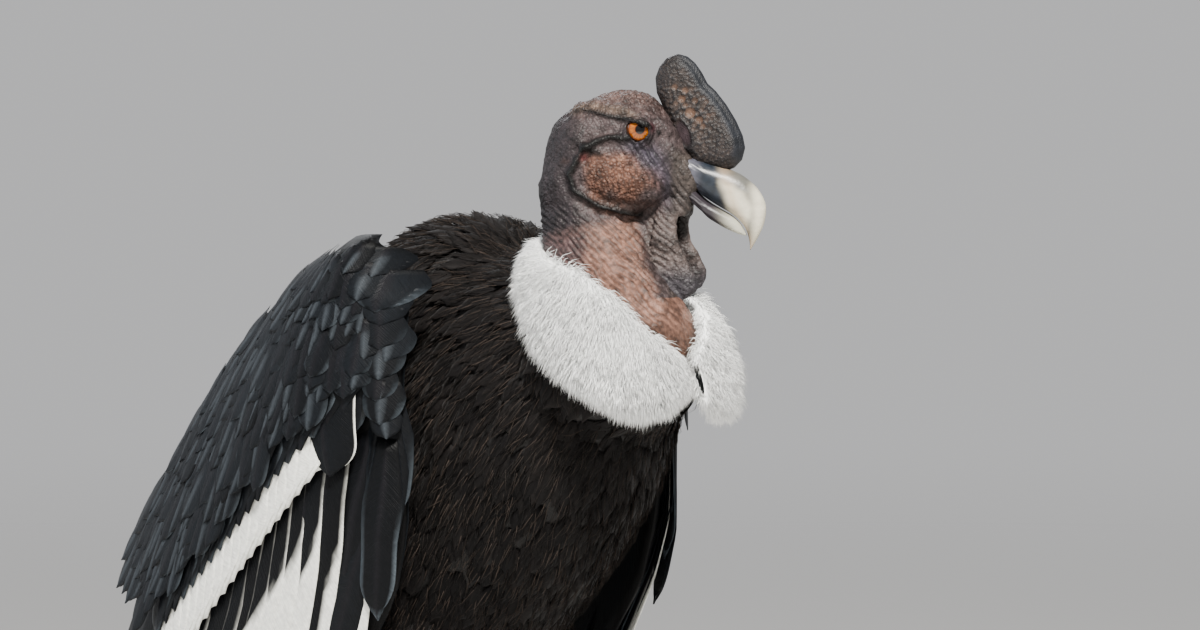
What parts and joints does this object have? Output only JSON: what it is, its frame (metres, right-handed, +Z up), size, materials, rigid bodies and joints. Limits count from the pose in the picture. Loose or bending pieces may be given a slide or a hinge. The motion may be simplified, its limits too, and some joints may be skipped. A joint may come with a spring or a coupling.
{
  "type": "andean condor model",
  "caption": "Life-size display model of an adult male Andean condor standing with folded wings, white neck ruff and fleshy comb, head turned to its left.",
  "frame": {"origin": "centre of the standing footprint's bounding box, on the floor plane under the soles", "axes": "+X the way the body faces, +Y the bird's left, +Z up"},
  "size_m": [0.6954, 0.3714, 0.8622],
  "materials": {
    "plumage": "black body and wing feathers with a faint blue-grey sheen, white outer webs on the secondaries and greater coverts",
    "down": "white fluffy down of the neck ruff",
    "skin": "bare wrinkled skin, brown-pink with grey folds",
    "comb": "dark grey warty caruncle",
    "horn": "ivory bill sheath, dark grey towards its base",
    "eye": "wet amber-brown iris with a dark pupil",
    "scales": "dull grey scaly leg and toe skin",
    "claw": "dark worn horn"
  },
  "bodies": {
    "root": {"torso": "plumage", "neck": "skin", "head": "skin", "comb": "comb", "bill_upper": "horn", "bill_lower": "horn", "tail": "plumage", "eye_left": "eye", "eye_right": "eye", "lappet_left": "skin", "collar_front_left": "down", "collar_side_left": "down", "collar_back_left": "down", "wing_arm_left": "plumage", "wing_hand_left": "plumage", "thigh_left": "plumage", "shank_left": "scales", "foot_left": "scales", "claw_inner_left": "claw", "claw_middle_left": "claw", "claw_outer_left": "claw", "claw_hind_left": "claw", "lappet_right": "skin", "collar_front_right": "down", "collar_side_right": "down", "collar_back_right": "down", "wing_arm_right": "plumage", "wing_hand_right": "plumage", "thigh_right": "plumage", "shank_right": "scales", "foot_right": "scales", "claw_inner_right": "claw", "claw_middle_right": "claw", "claw_outer_right": "claw", "claw_hind_right": "claw"}
  },
  "joints": []
}
